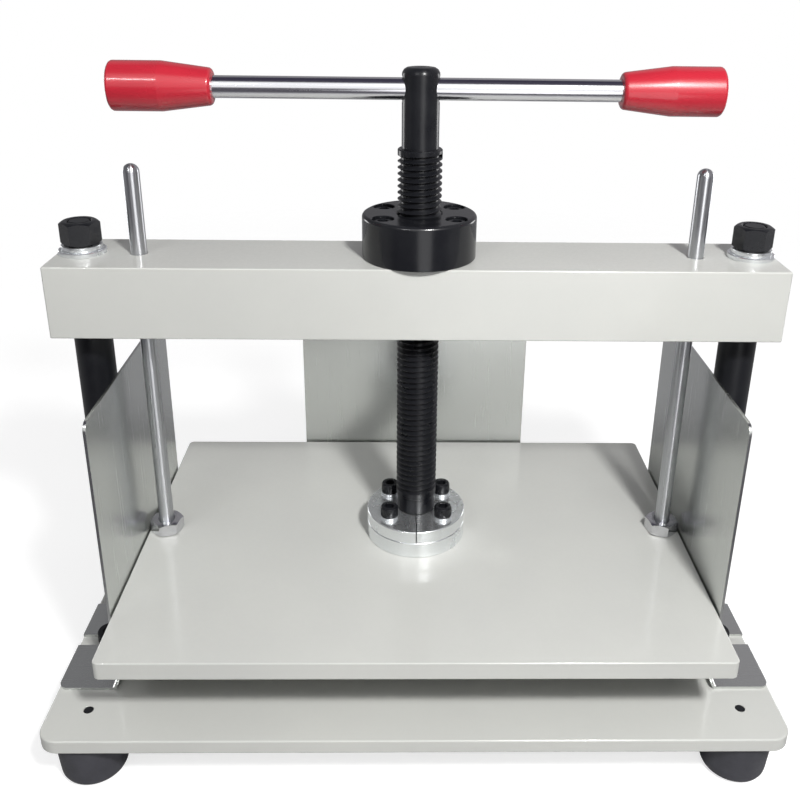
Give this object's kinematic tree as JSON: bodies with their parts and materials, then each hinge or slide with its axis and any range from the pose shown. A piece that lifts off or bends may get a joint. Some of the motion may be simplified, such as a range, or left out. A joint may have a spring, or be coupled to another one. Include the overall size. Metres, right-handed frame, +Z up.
{
  "type": "screw press",
  "caption": "Table-top screw press for flattening paper: a platen on a hand-turned spindle comes down between posts onto a base plate with rubber feet and squaring plates.",
  "frame": {"origin": "on the table under the middle of the base plate", "axes": "+X to the right seen from the front, +Y to the back, +Z up"},
  "size_m": [0.38, 0.253, 0.3517],
  "materials": {
    "paint": "glossy light grey paint",
    "black_steel": "black oxide",
    "zinc": "zinc plated",
    "stainless": "satin stainless sheet",
    "chrome": "bright chrome plate",
    "red_plastic": "glossy red plastic",
    "rubber": "matt dark grey rubber"
  },
  "bodies": {
    "frame": {"base_plate": "paint", "front_left_foot": "rubber", "front_right_foot": "rubber", "rear_left_foot": "rubber", "rear_right_foot": "rubber", "foot_screws": "black_steel", "foot_washers": "zinc", "left_post": "black_steel", "right_post": "black_steel", "post_bolts": "black_steel", "post_bolt_washers": "zinc", "top_beam": "paint", "left_post_washer": "zinc", "right_post_washer": "zinc", "left_spring_washer": "zinc", "right_spring_washer": "zinc", "left_post_nut": "black_steel", "right_post_nut": "black_steel", "screw_nut": "black_steel", "nut_screws": "black_steel", "left_side_plate": "stainless", "right_side_plate": "stainless", "side_plate_screws": "black_steel", "back_plate": "stainless", "back_plate_screws": "black_steel"},
    "pressing_plate": {"platen": "paint", "left_guide_rod": "chrome", "right_guide_rod": "chrome", "left_rod_nut": "zinc", "right_rod_nut": "zinc", "thrust_washer": "zinc", "screw_seat": "zinc", "left_collar_half": "zinc", "right_collar_half": "zinc", "collar_spring_washers": "zinc", "collar_screws": "black_steel"},
    "spindle": {"press_screw": "black_steel"},
    "handle": {"handle_bar": "chrome", "left_grip": "red_plastic", "right_grip": "red_plastic"}
  },
  "joints": [
    {"name": "platen_lift", "type": "slide", "parent": "frame", "child": "pressing_plate", "axis": [0, 0, 1], "range_m": [-0.0355, 0.107]},
    {"name": "screw_turn", "type": "hinge", "parent": "pressing_plate", "child": "spindle", "pos_m": [0, -0.011, 0.084], "axis": [0, 0, 1], "range_deg": [-3930, 11840]},
    {"name": "bar_slide", "type": "slide", "parent": "spindle", "child": "handle", "axis": [1, 0, 0], "range_m": [-0.088, 0.092]}
  ],
  "couplings": [
    {"joint": "platen_lift", "follows": "screw_turn", "m_per_rad": 0.00051725}
  ]
}
